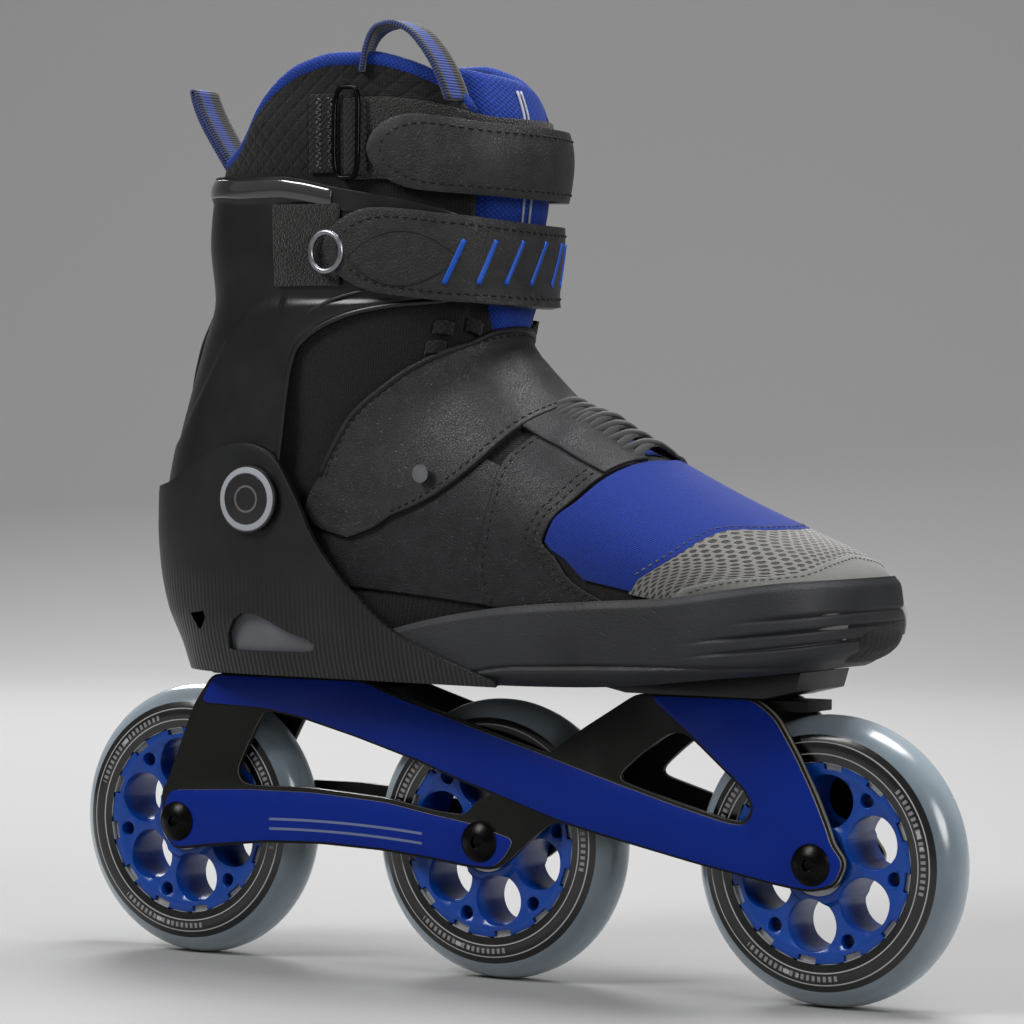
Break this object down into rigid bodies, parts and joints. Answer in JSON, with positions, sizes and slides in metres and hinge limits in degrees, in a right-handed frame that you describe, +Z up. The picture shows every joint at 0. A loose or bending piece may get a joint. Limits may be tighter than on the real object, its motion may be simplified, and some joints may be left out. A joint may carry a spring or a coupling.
{
  "type": "inline skate",
  "caption": "Right inline skate with a soft laced boot, hinged cuff, three straps and a one-piece frame carrying large wheels on ball bearings.",
  "frame": {"origin": "on the ground, under the middle axle, in the middle plane of the frame", "axes": "+X towards the toe, +Y to the left (inner side of the foot), +Z up"},
  "size_m": [0.363, 0.0954, 0.3396],
  "materials": {
    "frame_paint": "anodised blue panels over a black base",
    "black_plastic": "fine moulded texture",
    "cuff_plastic": "semi-gloss moulded",
    "grey_plastic": "satin",
    "steel": "ground",
    "black_steel": "black oxide",
    "hub_blue": "glossy nylon",
    "urethane": "cast urethane, smoky clear",
    "sole_rubber": "grooved rubber",
    "boot_fabric": "padded mesh",
    "blue_fabric": "knit",
    "grey_suede": "suede",
    "strap_leather": "grained, stitched border",
    "webbing": "woven webbing",
    "hook_fabric": "hook and loop",
    "cord": "braided cord"
  },
  "bodies": {
    "chassis": {"frame": "frame_paint", "rocker_spacers": "black_plastic", "front_mount_block": "black_plastic", "rear_mount_pad": "black_plastic", "mount_bolts": "steel", "mount_inserts": "steel", "axle_sleeves": "black_steel", "axle_screws": "black_steel", "bearing_inner_rings": "steel", "bearing_spacers": "steel", "sole_plate": "black_plastic", "footbed": "boot_fabric", "toe_bumper": "sole_rubber", "heel_shell": "black_plastic", "heel_inserts": "grey_plastic", "boot_upper": "boot_fabric", "toe_cap": "grey_suede", "vamp": "blue_fabric", "eyestay": "strap_leather", "laces": "cord", "instep_strap_anchor": "strap_leather", "pivot_pins": "steel", "pivot_caps": "grey_plastic"},
    "cuff": {"cuff": "cuff_plastic", "cuff_back_plate": "black_plastic", "collar": "boot_fabric", "collar_piping": "blue_fabric", "tongue": "blue_fabric", "collar_pull_loop": "webbing", "heel_pull_loop": "webbing", "collar_strap_base": "webbing", "collar_strap_ring": "black_plastic", "cuff_strap_base": "webbing", "cuff_strap_ring": "steel", "hook_patch": "hook_fabric"},
    "instep_strap": {"instep_strap": "strap_leather", "instep_strap_rivet": "steel"},
    "collar_strap": {"collar_strap_tail": "strap_leather"},
    "cuff_strap": {"cuff_strap_tail": "strap_leather"},
    "wheel_rear": {"tyre_rear": "urethane", "hub_rear": "hub_blue", "bearing_outer_rings_rear": "steel", "bearing_shields_rear": "steel", "bearing_balls_rear": "steel", "bearing_cages_rear": "grey_plastic"},
    "wheel_middle": {"tyre_middle": "urethane", "hub_middle": "hub_blue", "bearing_outer_rings_middle": "steel", "bearing_shields_middle": "steel", "bearing_balls_middle": "steel", "bearing_cages_middle": "grey_plastic"},
    "wheel_front": {"tyre_front": "urethane", "hub_front": "hub_blue", "bearing_outer_rings_front": "steel", "bearing_shields_front": "steel", "bearing_balls_front": "steel", "bearing_cages_front": "grey_plastic"}
  },
  "joints": [
    {"name": "wheel_spin_rear", "type": "hinge", "parent": "chassis", "child": "wheel_rear", "pos_m": [-0.1315, 0, 0.05], "axis": [0, 1, 0], "continuous": true},
    {"name": "wheel_spin_middle", "type": "hinge", "parent": "chassis", "child": "wheel_middle", "pos_m": [0, 0, 0.05], "axis": [0, 1, 0], "continuous": true},
    {"name": "wheel_spin_front", "type": "hinge", "parent": "chassis", "child": "wheel_front", "pos_m": [0.1315, 0, 0.05], "axis": [0, 1, 0], "continuous": true},
    {"name": "cuff_flex", "type": "hinge", "parent": "chassis", "child": "cuff", "pos_m": [-0.0804, 0, 0.1706], "axis": [0, 1, 0], "range_deg": [-4, 12]},
    {"name": "collar_strap_open", "type": "hinge", "parent": "cuff", "child": "collar_strap", "pos_m": [-0.02, 0.0445, 0.292], "axis": [0, 0, 1], "range_deg": [0, 80]},
    {"name": "cuff_strap_open", "type": "hinge", "parent": "cuff", "child": "cuff_strap", "pos_m": [-0.04, 0.0475, 0.2555], "axis": [0, 0, 1], "range_deg": [0, 80]},
    {"name": "instep_strap_open", "type": "hinge", "parent": "chassis", "child": "instep_strap", "pos_m": [0.0136, 0.027, 0.2083], "axis": [0.8432, 0.051, -0.5351], "range_deg": [-40, 0]}
  ]
}
